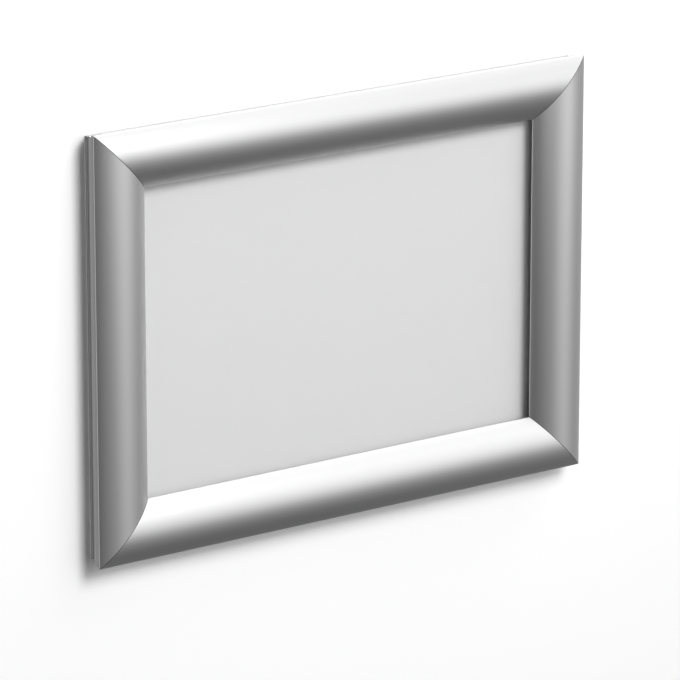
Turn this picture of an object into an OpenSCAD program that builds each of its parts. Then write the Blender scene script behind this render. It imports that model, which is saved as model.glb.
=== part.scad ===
// Landscape wall snap frame: four mitred base rails joined by corner keys,
// four hinged clip rails held by bow springs, a back panel and a clear cover sheet.
// X runs to the right, Z up, and the front faces -Y. The back lies in the plane y = 0.
// A rail's section is drawn in two coordinates: inwards from its outer edge, and out from the wall.

/* [Insert] */
// Width of the sheet that the frame holds
insert_w = 210; // [190:1:420]
// Height of the sheet that the frame holds
insert_h = 148; // [130:1:297]
// Play between the sheet and its pocket, on each side
insert_play = 0.3; // [0.1:0.1:1]
// Thickness of the back panel
panel_t = 1; // [0.5:0.1:1.4]
// Thickness of the clear cover sheet
sheet_t = 0.5; // [0.2:0.1:0.8]

/* [Clip rail] */
// Width of a rail seen from the front
rail_w = 25; // [23:0.5:30]
// Height of the outer edge above the wall
crease_h = 9.1; // [8.5:0.1:11]
// Height of the inner edge above the wall
lip_h = 6.75; // [6:0.05:8]
// Rise of the arch above the line between its two edges
arch_rise = 4.4; // [3.5:0.1:5.5]
// Wall of the arch
clip_t = 1.2; // [1:0.1:1.5]
// Wall of the flange that presses on the cover sheet
flange_t = 1.1; // [0.8:0.1:1.5]
// How far that flange stands back from the inner edge
flange_in = 3; // [2:0.1:4]
// Gap between the flange and the cover sheet
press_gap = 0.3; // [0.1:0.1:0.6]
// Gap left at each mitred end of a clip rail, along the rail
clip_mitre_gap = 0.15; // [0.1:0.05:0.4]
// How much further a rail's skirt stops short of each end, to clear an open neighbour
skirt_relief = 0.4; // [0.3:0.05:0.6]

/* [Hinge] */
// Distance of the hinge axis from the outer edge
hinge_in = 2.6; // [2.4:0.1:3]
// Height of the hinge axis above the wall
hinge_h = 3.4; // [3.2:0.1:3.8]
// Radius of the bead that the clip rail turns on
bead_r = 1.1; // [0.9:0.05:1.2]
// Running clearance around the bead
hinge_play = 0.06; // [0.03:0.01:0.1]
// Wall of the hook around the bead
hook_t = 0.84; // [0.6:0.02:1]
// Thickness of the stem that carries the bead
stem_t = 0.9; // [0.7:0.05:1]
// Angle through which a clip rail opens
open_angle = 95; // [80:1:96]
// Angle left between the hook and the stem at each end of the travel
stop_angle = 12; // [8:1:16]
// How far the hook stops short of the corner
hook_setback = 7; // [7:0.5:14]

/* [Base rail] */
// Thickness of the floor that lies on the wall
floor_t = 1.2; // [1:0.1:1.4]
// Distance of the floor's back edge from the outer edge of the frame
floor_in = 2; // [1.8:0.1:2.1]
// How far the floor reaches under the back panel
ledge = 7.3; // [5:0.1:9]
// Thickness of the inner rib
rib_t = 1.4; // [1.3:0.1:1.8]
// Height of the inner rib above the wall
rib_h = 6.9; // [6.7:0.1:7.5]
// Thickness of the low outer rib
low_rib_t = 0.7; // [0.5:0.1:0.8]
// Thickness of the two lips that hold a corner key down
key_lip_t = 0.6; // [0.5:0.1:0.8]
// How far each of those lips reaches over the key
key_lip_reach = 0.7; // [0.4:0.1:0.8]
// Gap left at each mitred end of a base rail, along the rail
base_mitre_gap = 0.04; // [0:0.02:0.1]

/* [Wall holes] */
// Diameter of the holes for the wall screws
hole_d = 4.5; // [3.5:0.1:5]
// Diameter cleared above each hole for the screw's head
head_d = 7.2; // [6.5:0.1:7.4]
// Distance of a hole from the corner, along the rail
hole_inset = 50; // [46:1:52]
// Distance of a hole from the outer edge
hole_in = 10; // [9.8:0.1:10.3]

/* [Corner keys] */
// Thickness of a corner key
key_t = 1.8; // [1.5:0.1:2]
// Width of a corner key's arms
key_w = 5.35; // [5:0.05:6]
// Length of each arm, from the key's outer corner
key_arm = 30; // [20:1:32]
// Play between a key and its channel, on each side
key_play = 0.1; // [0.05:0.05:0.2]
// Diameter of a grub screw
screw_d = 3; // [2.5:0.5:3]
// Distance of a grub screw from the end of its arm
screw_in = 7; // [5:0.5:10]
// How far a grub screw stands out of its key
screw_proud = 0.5; // [0.2:0.1:0.9]
// Width across the corners of the socket in a grub screw
socket_d = 1.7; // [1.2:0.1:1.8]
// Depth of that socket
socket_deep = 1.2; // [0.8:0.1:1.5]
// Clearance of a grub screw in its hole
screw_play = 0.05; // [0.02:0.01:0.1]

/* [Springs] */
// Length of a bow spring along its rail
spring_len = 25; // [15:1:26]
// Thickness of the spring leaf
spring_t = 0.4; // [0.3:0.05:0.5]
// Half the angle that the bow bends through
spring_bend = 65; // [60:1:68]
// Distance of a spring's middle from the corner on the long rails
spring_inset_long = 75; // [74:1:80]
// Distance of a spring's middle from the corner on the short rails
spring_inset_short = 63; // [60:1:64]
// Distance of the spring's seat on the clip rail from the hinge axis
seat_r = 2.9; // [2.7:0.05:3.1]
// Direction of that seat from the hinge axis, below the level
seat_drop = 12; // [8:1:16]
// Height of the spring's seat on the inner rib above the wall
seat_h = 5.7; // [5.4:0.1:5.9]
// Clearance between a spring and its seats
seat_play = 0.08; // [0.05:0.01:0.12]
// Wall of the heel that carries the spring on the clip rail
heel_t = 0.7; // [0.5:0.1:0.8]
// How far the toe of the heel reaches past the seat
heel_toe = 1.1; // [1:0.05:1.3]
// Clearance of the swinging heel from the low rib
swing_gap = 0.45; // [0.3:0.05:0.6]
// Depth of the groove in the inner rib
groove_deep = 0.5; // [0.4:0.05:0.6]
// Half the height of that groove
groove_half_h = 0.75; // [0.6:0.05:0.8]

/* [Hidden] */
SIDES = ["bottom", "right", "top", "left"];
CORNERS = ["bottom_left", "bottom_right", "top_right", "top_left"];
$fn = 96;

// Overlap with which the parts of one section are joined
bite = 0.2;
// Height that surely passes every rail
tall = 4 * crease_h;

// Ribs of the base rail, from the hinge inwards: the low rib, the key's channel, the inner rib, the pocket
low_rib_v = hinge_in + seat_r + heel_toe + swing_gap;
key_from = low_rib_v + low_rib_t + key_play;
key_to = key_from + key_w;
rib_v = key_to + key_play;
pocket_v = rib_v + rib_t;
key_lip_h = floor_t + key_t + key_play;

outer_w = insert_w + 2 * (pocket_v + insert_play);
outer_h = insert_h + 2 * (pocket_v + insert_play);
turns = [0, -90, 180, 90];
function is_long(side) = side % 2 == 0;
function rail_len(side) = is_long(side) ? outer_w : outer_h;
function reach(side) = is_long(side) ? outer_h / 2 : outer_w / 2;
function polar(r, a) = [r * cos(a), r * sin(a)];

// Arch: a circle through the outer and the inner edge
crease = [0, crease_h];
lip = [rail_w, lip_h];
arch_chord = norm(lip - crease);
arch_r = (arch_chord * arch_chord / 4 + arch_rise * arch_rise) / (2 * arch_rise);
arch_up = [crease_h - lip_h, rail_w] / arch_chord;
arch_centre = (crease + lip) / 2 + arch_up * (arch_rise - arch_r);
crease_dir = atan2(crease[1] - arch_centre[1], crease[0] - arch_centre[0]);
lip_dir = atan2(lip[1] - arch_centre[1], lip[0] - arch_centre[0]);

// Hinge: the hook turns on the bead until it meets the stem on either side
axis = [hinge_in, hinge_h];
hook_in_r = bead_r + hinge_play;
hook_out_r = hook_in_r + hook_t;
hook_mid_r = (hook_in_r + hook_out_r) / 2;
stem_angle = asin(stem_t / 2 / hook_in_r);
hook_from = stem_angle + stop_angle - 90;
hook_to = 270 - stem_angle - stop_angle - open_angle;
// Direction from the axis at which the skirt grows out of the hook
skirt_dir = 100;
// Angle between the lower end of the hook and the heel
heel_lead = 8;
heel_dir = hook_from + heel_lead;

// Springs: a bow between the heel on the clip rail and the groove in the inner rib
heel_seat = axis + polar(seat_r, -seat_drop);
rib_seat = [rib_v - seat_play, seat_h];
bow_chord = norm(rib_seat - heel_seat);
bow_dir = atan2(rib_seat[1] - heel_seat[1], rib_seat[0] - heel_seat[0]);
bow_r = bow_chord / 2 / sin(spring_bend);
bow_centre = (heel_seat + rib_seat) / 2 + polar(bow_r * cos(spring_bend), bow_dir - 90);

// Heel: a floor and an upstand under the foot of the spring, with a toe in front
heel_floor = heel_seat[1] - seat_play;
heel_upstand = heel_seat[0] - spring_t / 2 - seat_play;
toe_t = heel_t / 2;
heel_drop = hinge_h - heel_floor + heel_t;
toe_v = hinge_in + sqrt(pow(seat_r + heel_toe, 2) - pow(heel_drop, 2));

// Stack of sheets in front of the floor
sheet_h = floor_t + panel_t;
flange_h = sheet_h + sheet_t + press_gap;

// Fan of points around a centre, to cut a ring to a stretch of its turn
module fan(r, from, to, steps = 8) {
  span = to - from;
  far = r / cos(span / steps / 2);
  polygon(concat([[0, 0]], [for (i = [0:steps]) polar(far, from + span * i / steps)]));
}

module ring_stretch(centre, r_in, r_out, from, to) {
  translate(centre)
    intersection() {
      difference() {
        circle(r_out);
        circle(r_in);
      }
      fan(r_out + bite, from, to);
    }
}

// Box in a section, from its low to its high corner
module slab(low, high) {
  translate(low)
    square(high - low);
}

// Section pushed along the rail, with square ends
module along(len) {
  rotate(a = 180, v = [1, 0, 1])
    linear_extrude(height = len, center = true)
      children();
}

// Section pushed along the rail, with ends cut at 45 degrees
module mitred(len, gap) {
  half = len / 2 - gap;
  deep = rail_w + clip_t;
  intersection() {
    along(len)
      children();
    rotate([90, 0, 0])
      linear_extrude(height = tall, center = true)
        polygon([[-half, 0], [half, 0], [half - deep, deep], [deep - half, deep]]);
  }
}

module on_side(side) {
  rotate([0, turns[side], 0])
    translate([0, 0, -reach(side)])
      children();
}

module base_section() {
  difference() {
    union() {
      slab([floor_in, 0], [pocket_v + ledge, floor_t]);
      slab([hinge_in - stem_t / 2, floor_t - bite], [hinge_in + stem_t / 2, hinge_h]);
      translate(axis)
        circle(bead_r);
      slab([low_rib_v, floor_t - bite], [low_rib_v + low_rib_t, key_lip_h + key_lip_t]);
      slab([low_rib_v, key_lip_h], [low_rib_v + low_rib_t + key_lip_reach, key_lip_h + key_lip_t]);
      slab([rib_v, floor_t - bite], [pocket_v, rib_h]);
      slab([rib_v - key_lip_reach, key_lip_h], [rib_v + bite, key_lip_h + key_lip_t]);
    }
    polygon([
      [rib_v - bite, seat_h - groove_half_h * (1 + bite / groove_deep)],
      [rib_v + groove_deep, seat_h],
      [rib_v - bite, seat_h + groove_half_h * (1 + bite / groove_deep)]
    ]);
  }
}

module base_rail(side) {
  color("Silver")
    on_side(side)
      difference() {
        mitred(rail_len(side), base_mitre_gap)
          base_section();
        if (is_long(side))
          for (x = [-1, 1] * (rail_len(side) / 2 - hole_inset))
            translate([x, 0, hole_in])
              rotate([90, 0, 0]) {
                cylinder(d = hole_d, h = tall, center = true);
                translate([0, 0, floor_t])
                  cylinder(d = head_d, h = tall);
              }
      }
}

module arch_section() {
  flange_v = rail_w - flange_in;
  ring_stretch(arch_centre, arch_r - clip_t, arch_r, lip_dir, crease_dir);
  intersection() {
    slab([flange_v - flange_t, flange_h], [flange_v, tall]);
    translate(arch_centre)
      circle(arch_r - clip_t / 2);
  }
}

// Skirt between the outer edge and the hook
module skirt_section() {
  hook_edge = axis + polar(hook_out_r, hook_to);
  hook_root = axis + polar(hook_mid_r, skirt_dir);
  polygon([crease, hook_edge, hook_root, crease + [clip_t + bite, -bite / 2]]);
}

module hook_section() {
  ring_stretch(axis, hook_in_r, hook_out_r, hook_from, hook_to);
  polygon([
    axis + polar(hook_mid_r, heel_dir),
    [toe_v, hinge_h - heel_drop],
    [toe_v, heel_floor + toe_t],
    [toe_v - toe_t, heel_floor + toe_t],
    [toe_v - toe_t, heel_floor],
    [heel_upstand, heel_floor],
    [heel_upstand, heel_floor + heel_t],
    axis + polar(hook_mid_r, 0)
  ]);
}

module clip_rail(side) {
  color("Gainsboro")
    on_side(side)
      union() {
        mitred(rail_len(side), clip_mitre_gap)
          arch_section();
        mitred(rail_len(side), clip_mitre_gap + skirt_relief)
          skirt_section();
        along(rail_len(side) - 2 * hook_setback)
          hook_section();
      }
}

module spring(side, end) {
  inset = is_long(side) ? spring_inset_long : spring_inset_short;
  color("SteelBlue")
    on_side(side)
      translate([end * (rail_len(side) / 2 - inset), 0, 0])
        along(spring_len)
          ring_stretch(
            bow_centre, bow_r - spring_t / 2, bow_r + spring_t / 2,
            bow_dir + 90 - spring_bend, bow_dir + 90 + spring_bend
          );
}

// Places an arm of a key or a screw at one corner: the bottom left one, then on round the frame
module on_corner(corner) {
  sx = (corner == 1 || corner == 2) ? 1 : 0;
  sz = corner > 1 ? 1 : 0;
  mirror([sx, 0, 0])
    mirror([0, 0, sz])
      translate([-outer_w / 2, 0, -outer_h / 2])
        children();
}

// Both arms of a key, seen from the front: along the bottom rail, and up the side rail
screw_along = key_from + key_arm - screw_in;
screw_across = (key_from + key_to) / 2;

module corner_key(corner) {
  color("SlateGray")
    on_corner(corner)
      difference() {
        translate([0, -floor_t, 0])
          rotate([90, 0, 0])
            linear_extrude(height = key_t)
              union() {
                slab([key_from, key_from], [key_from + key_arm, key_to]);
                slab([key_from, key_from], [key_to, key_from + key_arm]);
              }
        for (p = [[screw_along, screw_across], [screw_across, screw_along]])
          translate([p[0], 0, p[1]])
            rotate([90, 0, 0])
              cylinder(d = screw_d + 2 * screw_play, h = tall, center = true);
      }
}

module grub_screw() {
  len = key_t + screw_proud;
  difference() {
    cylinder(d = screw_d, h = len);
    translate([0, 0, len - socket_deep])
      cylinder(d = socket_d, h = len, $fn = 6);
  }
}

module corner_screws() {
  color("DimGray")
    for (corner = [0:3])
      on_corner(corner)
        for (p = [[screw_along, screw_across], [screw_across, screw_along]])
          translate([p[0], -floor_t, p[1]])
            rotate([90, 0, 0])
              grub_screw();
}

// Flat sheet of the insert's size, with its back at the given height above the wall
module flat_sheet(height, thickness) {
  translate([-insert_w / 2, -height - thickness, -insert_h / 2])
    cube([insert_w, thickness, insert_h]);
}

module back_panel() {
  color("LightGray")
    flat_sheet(floor_t, panel_t);
}

module cover_sheet() {
  color("White", 0.4)
    flat_sheet(sheet_h, sheet_t);
}

for (i = [0:3]) {
  base_rail(i);
  clip_rail(i);
  spring(i, -1);
  spring(i, 1);
  corner_key(i);
}
corner_screws();
back_panel();
cover_sheet();
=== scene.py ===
"""Landscape wall snap frame: arched clip rails on base rails, with springs, corner keys and sheets."""
from math import acos, asin, atan2, copysign, cos, degrees, pi, radians, sin, sqrt

import bmesh
import bpy
from mathutils import Matrix, Vector


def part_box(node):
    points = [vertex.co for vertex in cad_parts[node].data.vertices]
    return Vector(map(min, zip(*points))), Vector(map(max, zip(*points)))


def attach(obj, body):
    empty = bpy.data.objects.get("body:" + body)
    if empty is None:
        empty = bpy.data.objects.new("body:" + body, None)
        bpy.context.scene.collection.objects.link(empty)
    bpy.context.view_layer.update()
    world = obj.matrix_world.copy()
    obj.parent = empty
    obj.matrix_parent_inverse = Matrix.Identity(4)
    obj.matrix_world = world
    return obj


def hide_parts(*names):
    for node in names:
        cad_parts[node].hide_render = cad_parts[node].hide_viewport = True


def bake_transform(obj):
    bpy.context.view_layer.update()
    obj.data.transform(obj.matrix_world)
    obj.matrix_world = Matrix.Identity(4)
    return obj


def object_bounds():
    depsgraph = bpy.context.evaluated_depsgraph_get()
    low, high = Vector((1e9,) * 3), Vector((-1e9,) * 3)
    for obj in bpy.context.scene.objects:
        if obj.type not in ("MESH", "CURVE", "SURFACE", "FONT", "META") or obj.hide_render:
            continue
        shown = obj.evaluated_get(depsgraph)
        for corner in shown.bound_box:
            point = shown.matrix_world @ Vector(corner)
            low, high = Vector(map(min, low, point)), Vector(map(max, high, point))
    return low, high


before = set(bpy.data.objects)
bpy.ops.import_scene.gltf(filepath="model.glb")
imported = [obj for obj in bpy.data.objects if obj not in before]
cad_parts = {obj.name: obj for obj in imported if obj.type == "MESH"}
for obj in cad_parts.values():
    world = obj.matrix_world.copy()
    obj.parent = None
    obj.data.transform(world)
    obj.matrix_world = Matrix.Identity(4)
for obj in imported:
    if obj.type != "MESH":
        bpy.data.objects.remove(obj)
cad_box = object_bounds()

# Sizes in metres. A rail's section is drawn as (inwards from the outer edge, out from the wall).
MM = 0.001
RAIL_W = 25 * MM
CREASE = Vector((0, 9.1)) * MM
LIP = Vector((25, 6.75)) * MM
ARCH_RISE = 4.4 * MM
CLIP_T = 1.2 * MM
FLANGE_T = 1.1 * MM
FLANGE_IN = 3 * MM
FLANGE_H = 3 * MM
CLIP_MITRE_GAP = 0.15 * MM
SKIRT_RELIEF = 0.4 * MM

# Hook of a clip rail, around the bead, how far the skirt bites into it, and the heel that carries the springs
HINGE = Vector((2.6, 3.4)) * MM
HOOK_IN_R = 1.16 * MM
HOOK_OUT_R = 2 * MM
HOOK_SETBACK = 7 * MM
HOOK_BITE = 0.03 * MM
HOOK_BITE_TURN = 2
HOOK_FROM = -55.2
HOOK_TO = 140.2
SKIRT_DIR = 100
HEEL_T = 0.7 * MM
HEEL_R = 4 * MM
HEEL_LOW_DIR = -37
HEEL_HIGH_DIR = 0.2

# Bow springs, between the heel and the inner rib of the base rail
SPRING_LEN = 25 * MM
SPRING_T = 0.4 * MM
SPRING_BEND = 65
SPRING_INSET_LONG = 75 * MM
SPRING_INSET_SHORT = 63 * MM
SEAT_PLAY = 0.08 * MM
SEAT_R = 2.9 * MM
SEAT_DROP = 12
RIB_SEAT = Vector((13.22, 5.7)) * MM

# Taper of a spring's ends, and where on the bow it starts
SPRING_TAPER = 0.12
SPRING_TAPER_FROM = 0.75

# Base rail, from the outer edge inwards: floor, stem and bead, low rib, channel of the corner keys, inner rib
FLOOR_T = 1.2 * MM
FLOOR_FROM = 2 * MM
FLOOR_TO = 22 * MM
BEAD_R = 1.1 * MM
STEM_T = 0.9 * MM
LOW_RIB_IN = 7.05 * MM
LOW_RIB_T = 0.7 * MM
RIB_IN = 13.3 * MM
RIB_T = 1.4 * MM
RIB_H = 6.9 * MM
KEY_LIP_H = 3.1 * MM
KEY_LIP_T = 0.6 * MM
KEY_LIP_REACH = 0.7 * MM
GROOVE_DEEP = 0.5 * MM
GROOVE_HALF_H = 0.75 * MM
BASE_MITRE_GAP = 0.04 * MM

# Stepped holes for the wall screws, through the long base rails
HOLE_R = 2.25 * MM
HEAD_R = 3.6 * MM
HOLE_INSET = 50 * MM
HOLE_IN = 10 * MM

# Corner keys in their channel, and the grub screws that jam them
KEY_FROM = 7.85 * MM
KEY_W = 5.35 * MM
KEY_T = 1.8 * MM
KEY_ARM = 30 * MM
KEY_CORNER = 0.9 * MM
KEY_HOLE_R = 1.55 * MM
SCREW_R = 1.5 * MM
SCREW_LEN = 2.3 * MM
SCREW_IN = 7 * MM
SCREW_ROOT = 0.2 * MM
SCREW_PITCH = 0.5 * MM
SCREW_POINT = 0.3 * MM
SOCKET_R = 0.85 * MM
SOCKET_DEEP = 1.2 * MM

# Air that a flat sheet leaves in its room, and the roundings of its corners and edges
SHEET_AIR = 0.04 * MM
SHEET_CORNER = 1.5 * MM
SHEET_EDGE = 0.1 * MM

# Small roundings that the extrusion die and the deburring leave
CREASE_ROUND = 0.7 * MM
NOSE_ROUND = 0.45 * MM
FOOT_ROUND = 0.3 * MM
BASE_ROUND = 0.12 * MM
KEY_ROUND = 0.15 * MM

HALF_W = cad_box[1].x
HALF_H = cad_box[1].z
SIDE_TURNS = {"bottom": 0, "right": -90, "top": 180, "left": 90}
CORNERS = ("bottom_left", "bottom_right", "top_right", "top_left")
SMOOTH_ANGLE = 28
FLAT_SMOOTH_ANGLE = 16
MERGE_DISTANCE = 0.001 * MM
EDGE_ANGLE = radians(40)


def is_long(side):
    return side in ("bottom", "top")


def half_length(side):
    return HALF_W if is_long(side) else HALF_H


def side_place(side):
    """Matrix that takes a rail from the bottom of the frame to its own side."""
    reach = HALF_H if is_long(side) else HALF_W
    return Matrix.Rotation(radians(SIDE_TURNS[side]), 4, "Y") @ Matrix.Translation((0, 0, -reach))


def polar(centre, radius, angle):
    return centre + radius * Vector((cos(radians(angle)), sin(radians(angle))))


def direction(centre, point):
    return degrees(atan2(point.y - centre.y, point.x - centre.x))


def arc(centre, radius, start, end, steps):
    """Round stretch of an outline, both ends included."""
    return [polar(centre, radius, start + (end - start) * i / steps) for i in range(steps + 1)]


# Arch of a clip rail: a circle through its outer and its inner edge
ARCH_CHORD = (LIP - CREASE).length
ARCH_R = (ARCH_CHORD ** 2 / 4 + ARCH_RISE ** 2) / (2 * ARCH_RISE)
ARCH_UP = Vector((CREASE.y - LIP.y, RAIL_W)) / ARCH_CHORD
ARCH_C = (CREASE + LIP) / 2 + ARCH_UP * (ARCH_RISE - ARCH_R)
ARCH_IN_R = ARCH_R - CLIP_T

# Bow of a spring: a circle through its two seats
HEEL_SEAT = polar(HINGE, SEAT_R, -SEAT_DROP)
BOW_DIR = direction(HEEL_SEAT, RIB_SEAT)
BOW_R = (RIB_SEAT - HEEL_SEAT).length / 2 / sin(radians(SPRING_BEND))
BOW_C = polar((HEEL_SEAT + RIB_SEAT) / 2, BOW_R * cos(radians(SPRING_BEND)), BOW_DIR - 90)


def inner_dir(across):
    """Direction from the arch's centre to its inner face, at a distance inwards from the outer edge."""
    return degrees(acos((across - ARCH_C.x) / ARCH_IN_R))


def clip_outline():
    """Arch, skirt and flange of a clip rail: along the inside, round the nose and back over the outside."""
    hook_edge = polar(HINGE, HOOK_OUT_R - HOOK_BITE, HOOK_TO - HOOK_BITE_TURN)
    hook_root = polar(HINGE, (HOOK_IN_R + HOOK_OUT_R) / 2, SKIRT_DIR)
    down = (hook_edge - CREASE).normalized()
    inwards = Vector((-down.y, down.x))
    flange_v = RAIL_W - FLANGE_IN
    # Rounding of the outer edge, which touches the arch and the skirt from inside
    corner = CREASE + inwards * CREASE_ROUND - ARCH_C
    slide = corner.dot(down)
    lower = -slide - sqrt(slide ** 2 - corner.length_squared + (ARCH_R - CREASE_ROUND) ** 2)
    crease_c = CREASE + inwards * CREASE_ROUND + down * lower
    crease_from = direction(ARCH_C, crease_c)
    crease_to = direction(inwards, Vector((0, 0))) % 360
    # Roundings of the nose, which the arch ends in
    lip_dir = direction(ARCH_C, LIP)
    nose_r = ARCH_R - NOSE_ROUND
    nose_dir = lip_dir + degrees(asin(NOSE_ROUND / nose_r))
    under_r = ARCH_IN_R + FOOT_ROUND
    under_dir = lip_dir + degrees(asin(FOOT_ROUND / under_r))
    foot_h = FLANGE_H + FOOT_ROUND
    return (
        [hook_edge, hook_root]
        + arc(ARCH_C, ARCH_IN_R, inner_dir(CLIP_T + FOOT_ROUND), inner_dir(flange_v - FLANGE_T), 32)
        + arc(Vector((flange_v - FLANGE_T + FOOT_ROUND, foot_h)), FOOT_ROUND, 180, 270, 4)
        + arc(Vector((flange_v - FOOT_ROUND, foot_h)), FOOT_ROUND, 270, 360, 4)
        + arc(ARCH_C, ARCH_IN_R, inner_dir(flange_v), under_dir, 6)
        + arc(polar(ARCH_C, under_r, under_dir), FOOT_ROUND, under_dir + 180, lip_dir + 270, 4)
        + arc(polar(ARCH_C, nose_r, nose_dir), NOSE_ROUND, lip_dir - 90, nose_dir, 6)
        + arc(ARCH_C, ARCH_R, nose_dir, crease_from, 72)[1:-1]
        + arc(crease_c, CREASE_ROUND, crease_from, crease_to, 8)
    )


def hook_outline():
    """Hook around the bead, with the heel under the springs."""
    floor = HEEL_SEAT.y - SEAT_PLAY
    upstand = HEEL_SEAT.x - SPRING_T / 2 - SEAT_PLAY
    low = floor - HEEL_T
    toe = HINGE.x + sqrt(HEEL_R ** 2 - (HINGE.y - low) ** 2)
    toe_top = floor + HEEL_T / 2
    return (
        arc(HINGE, HOOK_IN_R, HOOK_TO, HOOK_FROM, 32)
        + arc(HINGE, HOOK_OUT_R, HOOK_FROM, HEEL_LOW_DIR, 4)
        + [
            Vector((toe, low)),
            Vector((toe, toe_top)),
            Vector((toe - HEEL_T / 2, toe_top)),
            Vector((toe - HEEL_T / 2, floor)),
            Vector((upstand, floor)),
            Vector((upstand, floor + HEEL_T)),
        ]
        + arc(HINGE, HOOK_OUT_R, HEEL_HIGH_DIR, HOOK_TO, 30)
    )


def base_outline():
    """Floor, bead, ribs and key lips of a base rail: along the back inwards, and back over the front."""
    bead_end = degrees(acos(STEM_T / 2 / BEAD_R))
    low_rib_to = LOW_RIB_IN + LOW_RIB_T
    lip_top = KEY_LIP_H + KEY_LIP_T
    pocket = RIB_IN + RIB_T
    corners = (
        (FLOOR_FROM, 0),
        (FLOOR_TO, 0),
        (FLOOR_TO, FLOOR_T),
        (pocket, FLOOR_T),
        (pocket, RIB_H),
        (RIB_IN, RIB_H),
        (RIB_IN, RIB_SEAT.y + GROOVE_HALF_H),
        (RIB_IN + GROOVE_DEEP, RIB_SEAT.y),
        (RIB_IN, RIB_SEAT.y - GROOVE_HALF_H),
        (RIB_IN, lip_top),
        (RIB_IN - KEY_LIP_REACH, lip_top),
        (RIB_IN - KEY_LIP_REACH, KEY_LIP_H),
        (RIB_IN, KEY_LIP_H),
        (RIB_IN, FLOOR_T),
        (low_rib_to, FLOOR_T),
        (low_rib_to, KEY_LIP_H),
        (low_rib_to + KEY_LIP_REACH, KEY_LIP_H),
        (low_rib_to + KEY_LIP_REACH, lip_top),
        (LOW_RIB_IN, lip_top),
        (LOW_RIB_IN, FLOOR_T),
        (HINGE.x + STEM_T / 2, FLOOR_T),
    )
    return (
        [Vector(c) for c in corners]
        + arc(HINGE, BEAD_R, -bead_end, 180 + bead_end, 32)
        + [Vector((HINGE.x - STEM_T / 2, FLOOR_T)), Vector((FLOOR_FROM, FLOOR_T))]
    )


def bevelled(bm, edges, offset, segments):
    bmesh.ops.bevel(
        bm, geom=edges, offset=offset, affect="EDGES", segments=segments, profile=0.5, material=-1,
        clamp_overlap=True,
    )


def push_section(outline, half, mitred=False, soften=0):
    """Section pushed along a rail at the bottom of the frame, with square or 45 degree ends."""
    bm = bmesh.new()
    section = bm.faces.new([bm.verts.new((-half, -p.y, p.x)) for p in outline])
    pushed = bmesh.ops.extrude_face_region(bm, geom=[section])
    far_end = [g for g in pushed["geom"] if isinstance(g, bmesh.types.BMVert)]
    bmesh.ops.translate(bm, verts=far_end, vec=(2 * half, 0, 0))
    bmesh.ops.recalc_face_normals(bm, faces=bm.faces)
    if soften:
        runs = [e for e in bm.edges if e.calc_length() > half and e.calc_face_angle_signed() > EDGE_ANGLE]
        bevelled(bm, runs, soften, 2)
    if mitred:
        for v in bm.verts:
            v.co.x -= v.co.z if v.co.x > 0 else -v.co.z
    return bm


def turned(profile, steps=48):
    """Solid turned about an axis that stands out from the wall. Its profile starts and ends on that axis."""
    bm = bmesh.new()
    verts = [bm.verts.new((radius, -height, 0)) for radius, height in profile]
    edges = [bm.edges.new(pair) for pair in zip(verts, verts[1:])]
    bmesh.ops.spin(
        bm, geom=verts + edges, cent=(0, 0, 0), axis=(0, 1, 0), angle=2 * pi, steps=steps, use_merge=True
    )
    bmesh.ops.remove_doubles(bm, verts=bm.verts, dist=MERGE_DISTANCE)
    bmesh.ops.recalc_face_normals(bm, faces=bm.faces)
    return bm


def repeated(bm, places):
    """Copies of a mesh, moved to each of the places."""
    first = bm.verts[:] + bm.edges[:] + bm.faces[:]
    for place in places:
        made = bmesh.ops.duplicate(bm, geom=first)["geom"]
        bmesh.ops.translate(bm, verts=[g for g in made if isinstance(g, bmesh.types.BMVert)], vec=place)
    bmesh.ops.delete(bm, geom=first[:], context="VERTS")
    return bm


def show(mesh, name, smooth_angle=SMOOTH_ANGLE):
    """Object of a finished mesh, smooth but for its real edges."""
    mesh.name = name
    mesh.shade_smooth()
    mesh.set_sharp_from_angle(angle=radians(smooth_angle))
    obj = bpy.data.objects.new(name, mesh)
    bpy.context.scene.collection.objects.link(obj)
    return obj


def to_object(bm, name, smooth_angle=SMOOTH_ANGLE):
    mesh = bpy.data.meshes.new(name)
    bm.to_mesh(mesh)
    bm.free()
    return show(mesh, name, smooth_angle)


def joined(body, tool, name, operation="UNION", smooth_angle=SMOOTH_ANGLE):
    """One closed mesh, made by adding one mesh to another or cutting it out."""
    work = body.modifiers.new("work", "BOOLEAN")
    work.operation = operation
    work.solver = "EXACT"
    work.object = tool
    graph = bpy.context.evaluated_depsgraph_get()
    mesh = bpy.data.meshes.new_from_object(body.evaluated_get(graph))
    for used in (body, tool):
        bpy.data.objects.remove(used)
    return show(mesh, name, smooth_angle)


# Materials
def put(tree, kind, inputs=(), **settings):
    """Adds a node, with its settings and with values or links on its inputs."""
    node = tree.nodes.new("ShaderNode" + kind)
    for key, value in settings.items():
        setattr(node, key, value)
    for socket, value in dict(inputs).items():
        if isinstance(value, bpy.types.NodeSocket):
            tree.links.new(value, node.inputs[socket])
        else:
            node.inputs[socket].default_value = value
    return node


def new_material(name, constants=()):
    mat = bpy.data.materials.new(name)
    mat.use_nodes = True
    shader = mat.node_tree.nodes["Principled BSDF"]
    for socket, value in dict(constants).items():
        shader.inputs[socket].default_value = value
    return mat, mat.node_tree, shader


def new_group(name, inputs, outputs):
    """Empty shader node group with its sockets: its tree, and the nodes for what goes in and comes out."""
    tree = bpy.data.node_groups.new(name, "ShaderNodeTree")
    for socket, kind, value in inputs:
        made = tree.interface.new_socket(socket, in_out="INPUT", socket_type="NodeSocket" + kind)
        made.default_value = value
    for socket, kind in outputs:
        tree.interface.new_socket(socket, in_out="OUTPUT", socket_type="NodeSocket" + kind)
    return tree, tree.nodes.new("NodeGroupInput").outputs, tree.nodes.new("NodeGroupOutput").inputs


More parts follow.
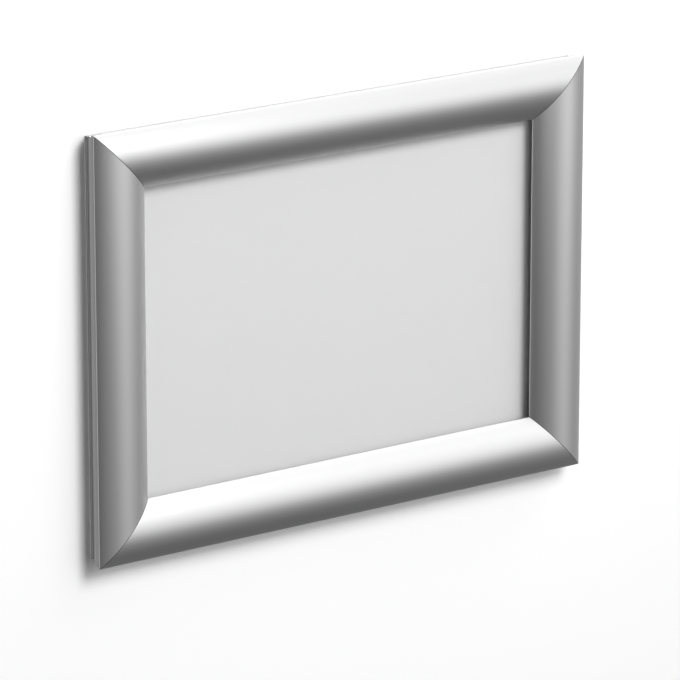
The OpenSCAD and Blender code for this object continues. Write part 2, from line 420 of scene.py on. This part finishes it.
def grain_group():
    """Drawn lines along a part, over an even fine grain: a height, and a roughness that varies with it."""
    tree, given, out = new_group(
        "drawn_grain",
        (
            ("Vector", "Vector", (0, 0, 0)),
            ("Stretch", "Vector", (1, 1, 1)),
            ("Grain Scale", "Float", 5000),
            ("Roughness", "Float", 0.35),
            ("Spread", "Float", 0.04),
        ),
        (("Lines", "Float"), ("Height", "Float"), ("Roughness", "Float")),
    )
    drawn = put(tree, "VectorMath", {0: given["Vector"], 1: given["Stretch"]}, operation="MULTIPLY")
    lines = put(tree, "TexNoise", {"Vector": drawn.outputs[0], "Scale": 1, "Detail": 4, "Roughness": 0.6})
    grain = put(tree, "TexNoise", {"Vector": given["Vector"], "Scale": given["Grain Scale"], "Detail": 2})
    height = put(tree, "Math", {0: lines.outputs["Fac"], 1: grain.outputs["Fac"]}, operation="ADD")
    swing = put(tree, "Math", {0: height.outputs[0], 1: 1}, operation="SUBTRACT")
    terms = {0: swing.outputs[0], 1: given["Spread"], 2: given["Roughness"]}
    rough = put(tree, "Math", terms, operation="MULTIPLY_ADD")
    tree.links.new(lines.outputs["Fac"], out["Lines"])
    tree.links.new(height.outputs[0], out["Height"])
    tree.links.new(rough.outputs[0], out["Roughness"])
    return tree


GRAIN = grain_group()
LINES_LEVEL = (25, 7000, 7000)
LINES_UPRIGHT = (7000, 7000, 25)
LINES_NONE = (900, 900, 900)


def lay_grain(tree, shader, stretch, roughness, spread):
    """Puts the grain on a material, where it drives the roughness."""
    place = put(tree, "TexCoord").outputs["Object"]
    grain = put(
        tree, "Group", {"Vector": place, "Stretch": stretch, "Roughness": roughness, "Spread": spread},
        node_tree=GRAIN,
    )
    tree.links.new(grain.outputs["Roughness"], shader.inputs["Roughness"])
    return grain


def shade_grain(tree, shader, grain, dark, light, bump, deep):
    """Lets the colour vary along the grain's lines, and the surface with its height."""
    tint = put(tree, "Mix", {"Factor": grain.outputs["Lines"]}, data_type="RGBA")
    tint.inputs["A"].default_value = (*dark, 1)
    tint.inputs["B"].default_value = (*light, 1)
    dent = put(tree, "Bump", {"Height": grain.outputs["Height"], "Strength": bump, "Distance": deep})
    tree.links.new(tint.outputs["Result"], shader.inputs["Base Color"])
    tree.links.new(dent.outputs["Normal"], shader.inputs["Normal"])


METAL_GRAIN_DEEP = 0.03 * MM
PLASTIC_GRAIN_DEEP = 0.02 * MM
PLASTIC_MOTTLE = 0.015


def drawn_metal(name, colour, roughness, spread, stretch, bump, contrast=0.96):
    """Metal with lines along the part, in the colour, the roughness and the surface itself."""
    mat, tree, shader = new_material(name, {"Metallic": 1})
    grain = lay_grain(tree, shader, stretch, roughness, spread)
    dark = [c * contrast for c in colour]
    light = [c / contrast for c in colour]
    shade_grain(tree, shader, grain, dark, light, bump, METAL_GRAIN_DEEP)
    return mat


def matt_plastic(name, colour):
    """Back panel: an even matt grey with a fine moulded grain."""
    mat, tree, shader = new_material(name, {"Specular IOR Level": 0.3})
    grain = lay_grain(tree, shader, LINES_NONE, 0.6, 0.1)
    dark = [c * (1 - PLASTIC_MOTTLE) for c in colour]
    light = [c * (1 + PLASTIC_MOTTLE) for c in colour]
    shade_grain(tree, shader, grain, dark, light, 0.1, PLASTIC_GRAIN_DEEP)
    return mat


def clear_plastic(name):
    """Cover sheet: clear, with the fine grain that keeps it from glaring."""
    mat, tree, shader = new_material(name, {"Base Color": (0.9, 0.9, 0.9, 1), "Alpha": 0.1})
    lay_grain(tree, shader, LINES_NONE, 0.4, 0.1)
    return mat


CLIP_GREY = (0.62, 0.62, 0.625)
BASE_GREY = (0.5, 0.5, 0.505)
SPRING_GREY = (0.34, 0.35, 0.38)
clip_aluminium = {
    True: drawn_metal("clip_aluminium_level", CLIP_GREY, 0.39, 0.06, LINES_LEVEL, 0.05),
    False: drawn_metal("clip_aluminium_upright", CLIP_GREY, 0.39, 0.06, LINES_UPRIGHT, 0.05),
}
base_aluminium = {
    True: drawn_metal("base_aluminium_level", BASE_GREY, 0.4, 0.1, LINES_LEVEL, 0.1),
    False: drawn_metal("base_aluminium_upright", BASE_GREY, 0.4, 0.1, LINES_UPRIGHT, 0.1),
}
spring_steel = {
    True: drawn_metal("spring_steel_level", SPRING_GREY, 0.3, 0.1, LINES_LEVEL, 0.08),
    False: drawn_metal("spring_steel_upright", SPRING_GREY, 0.3, 0.1, LINES_UPRIGHT, 0.08),
}
zinc_steel = drawn_metal("zinc_steel", (0.55, 0.56, 0.56), 0.38, 0.2, LINES_NONE, 0.1, 0.85)
screw_steel = drawn_metal("screw_steel", (0.1, 0.1, 0.105), 0.42, 0.1, LINES_NONE, 0.1)
panel_plastic = matt_plastic("panel_plastic", (0.65, 0.65, 0.655))
clear_sheet = clear_plastic("clear_sheet")


def finish_piece(piece, mat):
    piece.data.materials.clear()
    piece.data.materials.append(mat)


def build_clip_rail(side):
    half = half_length(side)
    section = push_section(clip_outline(), half - CLIP_MITRE_GAP, mitred=True)
    # The foot of the skirt is cut back at its ends, so that two open rails clear each other at their corner
    for v in section.verts:
        if v.co.z < HINGE.x and -v.co.y < HINGE.y + HOOK_OUT_R:
            v.co.x -= copysign(SKIRT_RELIEF, v.co.x)
    shell = to_object(section, "shell")
    hook = to_object(push_section(hook_outline(), half - HOOK_SETBACK), "hook")
    rail = joined(shell, hook, "arched_clip_" + side)
    rail.data.transform(side_place(side))
    finish_piece(rail, clip_aluminium[is_long(side)])
    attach(rail, side + "_clip")
    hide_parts("clip_rail_" + side)


def build_base_rail(side):
    half = half_length(side)
    section = push_section(base_outline(), half - BASE_MITRE_GAP, True, BASE_ROUND)
    rail = to_object(section, "rail", FLAT_SMOOTH_ANGLE)
    if is_long(side):
        above = 2 * RIB_H
        shank = [(0, -FLOOR_T), (HOLE_R, -FLOOR_T), (HOLE_R, FLOOR_T)]
        hole = turned([*shank, (HEAD_R, FLOOR_T), (HEAD_R, above), (0, above)])
        along = half - HOLE_INSET
        holes = to_object(repeated(hole, [(-along, 0, HOLE_IN), (along, 0, HOLE_IN)]), "holes")
        rail = joined(rail, holes, "rail", "DIFFERENCE", FLAT_SMOOTH_ANGLE)
    rail.name = rail.data.name = "extruded_base_" + side
    rail.data.transform(side_place(side))
    finish_piece(rail, base_aluminium[is_long(side)])
    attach(rail, "back_frame")
    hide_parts("base_rail_" + side)


def corner_point(corner, along, across, height):
    """A point at a corner of the frame, from its two outer edges."""
    x = HALF_W - along
    z = HALF_H - across
    return Vector((x if "right" in corner else -x, -height, z if "top" in corner else -z))


SCREW_ALONG = KEY_FROM + KEY_ARM - SCREW_IN
SCREW_ACROSS = KEY_FROM + KEY_W / 2
SCREW_PLACES = ((SCREW_ALONG, SCREW_ACROSS), (SCREW_ACROSS, SCREW_ALONG))


def build_corner_key(corner):
    """Stamped angle with a threaded hole in each arm."""
    inner = KEY_FROM + KEY_W
    tip = KEY_FROM + KEY_ARM
    outline = (
        (KEY_FROM, KEY_FROM), (tip, KEY_FROM), (tip, inner), (inner, inner), (inner, tip), (KEY_FROM, tip)
    )
    bm = bmesh.new()
    plan = bm.faces.new([bm.verts.new(corner_point(corner, *p, FLOOR_T)) for p in outline])
    pushed = bmesh.ops.extrude_face_region(bm, geom=[plan])
    front = [g for g in pushed["geom"] if isinstance(g, bmesh.types.BMVert)]
    bmesh.ops.translate(bm, verts=front, vec=(0, -KEY_T, 0))
    bmesh.ops.recalc_face_normals(bm, faces=bm.faces)
    upright = [e for e in bm.edges if abs(e.verts[0].co.y - e.verts[1].co.y) > KEY_T / 2]
    bevelled(bm, upright, KEY_CORNER, 4)
    rims = [e for e in bm.edges if e.calc_face_angle() > EDGE_ANGLE]
    bevelled(bm, rims, KEY_ROUND, 2)
    key = to_object(bm, "key")
    drill = turned(((0, -KEY_T), (KEY_HOLE_R, -KEY_T), (KEY_HOLE_R, 2 * KEY_T), (0, 2 * KEY_T)))
    holes = to_object(repeated(drill, [corner_point(corner, *p, FLOOR_T) for p in SCREW_PLACES]), "holes")
    key = joined(key, holes, "angle_key_" + corner, "DIFFERENCE", FLAT_SMOOTH_ANGLE)
    finish_piece(key, zinc_steel)
    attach(key, "back_frame")
    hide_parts("corner_key_" + corner)


def build_grub_screws():
    """All the grub screws: a thread between chamfered ends, and a hexagonal socket."""
    root = SCREW_R - SCREW_ROOT
    turns = int((SCREW_LEN - 2 * SCREW_POINT) / SCREW_PITCH)
    thread = []
    for turn in range(turns):
        low = SCREW_POINT + turn * SCREW_PITCH
        thread += [(root, low), (SCREW_R, low + SCREW_PITCH / 2)]
    end = SCREW_R - SCREW_POINT
    profile = [(0, 0), (end, 0), *thread, (root, SCREW_LEN - SCREW_POINT), (end, SCREW_LEN), (0, SCREW_LEN)]
    places = [corner_point(c, *p, FLOOR_T) for c in CORNERS for p in SCREW_PLACES]
    screws = to_object(repeated(turned(profile), places), "screws")
    tool = bmesh.new()
    bmesh.ops.create_cone(
        tool, cap_ends=True, segments=6, radius1=SOCKET_R, radius2=SOCKET_R, depth=2 * SOCKET_DEEP
    )
    bmesh.ops.rotate(tool, verts=tool.verts, matrix=Matrix.Rotation(radians(90), 3, "X"))
    bmesh.ops.translate(tool, verts=tool.verts, vec=(0, -SCREW_LEN, 0))
    sockets = to_object(repeated(tool, places), "sockets")
    screws = joined(screws, sockets, "grub_screws", "DIFFERENCE")
    finish_piece(screws, screw_steel)
    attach(screws, "back_frame")
    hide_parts("corner_screws")


def build_spring(side, end):
    """Bow spring: a leaf bent between its seats, whose corners are rounded off."""
    steps = 40
    turn = 2 * SPRING_BEND
    bm = bmesh.new()
    leaf = bmesh.ops.create_grid(bm, x_segments=10, y_segments=1, size=0.5)
    bmesh.ops.scale(bm, verts=leaf["verts"], vec=(SPRING_LEN, SPRING_T, 1))
    # The grid stands at the start of the bow, its thickness along the bow's radius
    start = BOW_DIR + 90 - SPRING_BEND
    bmesh.ops.translate(bm, verts=bm.verts, vec=(0, BOW_R, 0))
    bmesh.ops.rotate(bm, verts=bm.verts, matrix=Matrix.Rotation(radians(90 + start), 3, "X"))
    bmesh.ops.translate(bm, verts=bm.verts, vec=(0, -BOW_C.y, BOW_C.x))
    bmesh.ops.spin(
        bm, geom=bm.faces[:], cent=(0, -BOW_C.y, BOW_C.x), axis=(1, 0, 0), angle=radians(turn), steps=steps
    )
    bmesh.ops.remove_doubles(bm, verts=bm.verts, dist=MERGE_DISTANCE)
    bmesh.ops.recalc_face_normals(bm, faces=bm.faces)
    for v in bm.verts:
        at = direction(BOW_C, Vector((v.co.z, -v.co.y)))
        near_end = abs((at - BOW_DIR - 90 + 180) % 360 - 180) / SPRING_BEND
        past_straight = max(0, near_end - SPRING_TAPER_FROM) / (1 - SPRING_TAPER_FROM)
        v.co.x *= 1 - SPRING_TAPER * past_straight ** 2
    inset = SPRING_INSET_LONG if is_long(side) else SPRING_INSET_SHORT
    along = (-1 if end == "a" else 1) * (half_length(side) - inset)
    bmesh.ops.translate(bm, verts=bm.verts, vec=(along, 0, 0))
    bmesh.ops.transform(bm, matrix=side_place(side), verts=bm.verts)
    spring = to_object(bm, f"bow_spring_{side}_{end}")
    finish_piece(spring, spring_steel[is_long(side)])
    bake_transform(spring)
    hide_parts(f"spring_{side}_{end}")


def build_flat_sheet(name, node, mat):
    """Flat sheet in the place of a node, a hair thinner, with rounded corners and broken edges."""
    low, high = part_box(node)
    size = high - low
    size.y -= SHEET_AIR
    bm = bmesh.new()
    bmesh.ops.create_cube(bm, size=1)
    bmesh.ops.scale(bm, verts=bm.verts, vec=size)
    corners = [e for e in bm.edges if abs(e.verts[0].co.y - e.verts[1].co.y) > size.y / 2]
    bevelled(bm, corners, SHEET_CORNER, 6)
    rims = [e for e in bm.edges if e.calc_face_angle() > EDGE_ANGLE]
    bevelled(bm, rims, SHEET_EDGE, 2)
    bmesh.ops.recalc_face_normals(bm, faces=bm.faces)
    bmesh.ops.translate(bm, verts=bm.verts, vec=(low + high) / 2)
    sheet = to_object(bm, name, FLAT_SMOOTH_ANGLE)
    finish_piece(sheet, mat)
    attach(sheet, "back_frame")
    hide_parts(node)


for rail_side in SIDE_TURNS:
    build_clip_rail(rail_side)
    build_base_rail(rail_side)
    for spring_end in "ab":
        build_spring(rail_side, spring_end)
for key_corner in CORNERS:
    build_corner_key(key_corner)
build_grub_screws()
build_flat_sheet("backing_panel", "back_panel", panel_plastic)
build_flat_sheet("clear_cover", "cover_sheet", clear_sheet)

# Camera: a long lens, from the left and a little above
CAMERA_AZIMUTH = radians(34.93)
CAMERA_ELEVATION = radians(16.53)
CAMERA_DISTANCE = 2.097
CAMERA_LENS = 273
AIM_RIGHT = 2.6 * MM
AIM_UP = -15.4 * MM
CAMERA_REACH = 20


def build_camera():
    forward = Vector((
        sin(CAMERA_AZIMUTH) * cos(CAMERA_ELEVATION),
        cos(CAMERA_AZIMUTH) * cos(CAMERA_ELEVATION),
        -sin(CAMERA_ELEVATION),
    ))
    right = Vector((cos(CAMERA_AZIMUTH), -sin(CAMERA_AZIMUTH), 0))
    upwards = right.cross(forward)
    lens = bpy.data.cameras.new("camera")
    lens.lens = CAMERA_LENS
    lens.clip_end = CAMERA_REACH
    camera = bpy.data.objects.new("camera", lens)
    camera.location = right * AIM_RIGHT + upwards * AIM_UP - forward * CAMERA_DISTANCE
    camera.rotation_euler = forward.to_track_quat("-Z", "Y").to_euler()
    bpy.context.scene.collection.objects.link(camera)
    bpy.context.scene.camera = camera


# Wall: half its width, its distance behind the frame, and the length below which rays pass through it
WALL_HALF = 3
WALL_AIR = 0.2 * MM
WALL_REACH = 6 * MM


def wall_paint():
    """White wall. It is clear from behind, so that the back can be seen, and to what lies against it."""
    mat, tree, shader = new_material(
        "wall_paint", {"Base Color": (0.97, 0.97, 0.97, 1), "Roughness": 0.9, "Specular IOR Level": 0}
    )
    clear = put(tree, "BsdfTransparent")
    behind = put(tree, "NewGeometry").outputs["Backfacing"]
    reach = put(tree, "LightPath").outputs["Ray Length"]
    close_by = put(tree, "Math", {0: reach, 1: WALL_REACH}, operation="LESS_THAN")
    open_to = put(tree, "Math", {0: behind, 1: close_by.outputs[0]}, operation="MAXIMUM")
    both = {"Fac": open_to.outputs[0], 1: shader.outputs["BSDF"], 2: clear.outputs["BSDF"]}
    sides = put(tree, "MixShader", both)
    tree.links.new(sides.outputs["Shader"], tree.nodes["Material Output"].inputs["Surface"])
    return mat


def build_wall():
    bm = bmesh.new()
    bmesh.ops.create_grid(bm, x_segments=1, y_segments=1, size=WALL_HALF)
    bmesh.ops.rotate(bm, verts=bm.verts, matrix=Matrix.Rotation(radians(90), 3, "X"))
    bmesh.ops.translate(bm, verts=bm.verts, vec=(0, WALL_AIR, 0))
    wall = to_object(bm, "wall")
    wall.data.materials.append(wall_paint())
    wall.visible_glossy = False


def soft_light(name, place, size, brightness, towards=None, on_metal=True, on_matt=True):
    """Evenly bright rectangle that the camera doesn't see, turned to the frame unless told otherwise."""
    lamp = bpy.data.lights.new(name, "AREA")
    lamp.shape = "RECTANGLE"
    lamp.size, lamp.size_y = size
    lamp.energy = brightness * pi * size[0] * size[1]
    light = bpy.data.objects.new(name, lamp)
    light.location = place
    facing = Vector(towards) if towards else -Vector(place)
    light.rotation_euler = facing.to_track_quat("-Z", "Y").to_euler()
    light.visible_camera = False
    light.visible_glossy = on_metal
    light.visible_diffuse = on_matt
    bpy.context.scene.collection.objects.link(light)


# Metal doesn't mirror the key light, and the near, right and left cards don't light matt surfaces
soft_light("key_light", (0.5, -2.22, 1.95), (1.2, 1.2), 12.9, on_metal=False)
soft_light("front_card", (0, -0.52, 0.24), (0.3, 0.32), 2.4, towards=(0, 1, 0))
soft_light("low_card", (1.4, -2.2, -0.6), (1.7, 0.6), 0.12)
soft_light("near_card", (0.36, -0.42, 0.05), (0.35, 0.3), 0.25, on_matt=False)
soft_light("right_card", (0.6, -0.3, 0.05), (0.4, 0.3), 0.32, on_matt=False)
soft_light("left_card", (-1.9, -2.0, 1.4), (2.2, 1.4), 1.6, on_matt=False)
soft_light("rear_card", (-0.4, 1.4, 0.8), (1.2, 1.2), 2.0, towards=(0.2, -1, -0.4))

# Bright parts of the room: turn to the right of the front, rise, half width in degrees, and brightness
ROOM_GLOW = (
    (-95, -16, 50, 0.74),
    (5, -16, 45, 0.26),
    (55, -16, 30, 0.18),
    (72, -16, 42, 0.12),
    (35, 18, 42, 1.36),
    (60, 40, 30, 0.8),
    (105, 60, 40, 3.4),
    (143, 0, 75, 0.77),
    (145, 32, 32, 0.2),
    (95, -52, 45, 0.15),
    (-25, -60, 28, 0.35),
)


def studio_world():
    """Room that the metal mirrors, dim but for a few soft bright parts. Its background is white."""
    world = bpy.data.worlds.new("studio")
    world.use_nodes = True
    tree = world.node_tree
    towards = put(tree, "TexCoord").outputs["Generated"]
    level = None
    for turn, rise, half_width, brightness in ROOM_GLOW:
        raised = Matrix.Rotation(radians(-rise), 3, "X") @ Vector((0, -1, 0))
        middle = Matrix.Rotation(radians(turn), 3, "Z") @ raised
        near = put(tree, "VectorMath", {0: towards, 1: middle}, operation="DOT_PRODUCT")
        glow = put(
            tree, "MapRange",
            {
                "Value": near.outputs["Value"], "From Min": cos(radians(half_width)), "From Max": 1,
                "To Min": 0, "To Max": brightness,
            },
            interpolation_type="SMOOTHSTEP",
        ).outputs["Result"]
        level = put(tree, "Math", {0: level, 1: glow}, operation="ADD").outputs[0] if level else glow
    room = tree.nodes["Background"]
    room.inputs["Color"].default_value = (1, 1, 1, 1)
    tree.links.new(level, room.inputs["Strength"])
    white = put(tree, "Background", {"Color": (1, 1, 1, 1)})
    seen = put(tree, "LightPath").outputs["Is Camera Ray"]
    both = put(tree, "MixShader", {"Fac": seen, 1: room.outputs[0], 2: white.outputs[0]})
    tree.links.new(both.outputs["Shader"], tree.nodes["World Output"].inputs["Surface"])
    bpy.context.scene.world = world


build_camera()
build_wall()
studio_world()
bpy.context.scene.view_settings.view_transform = "Standard"
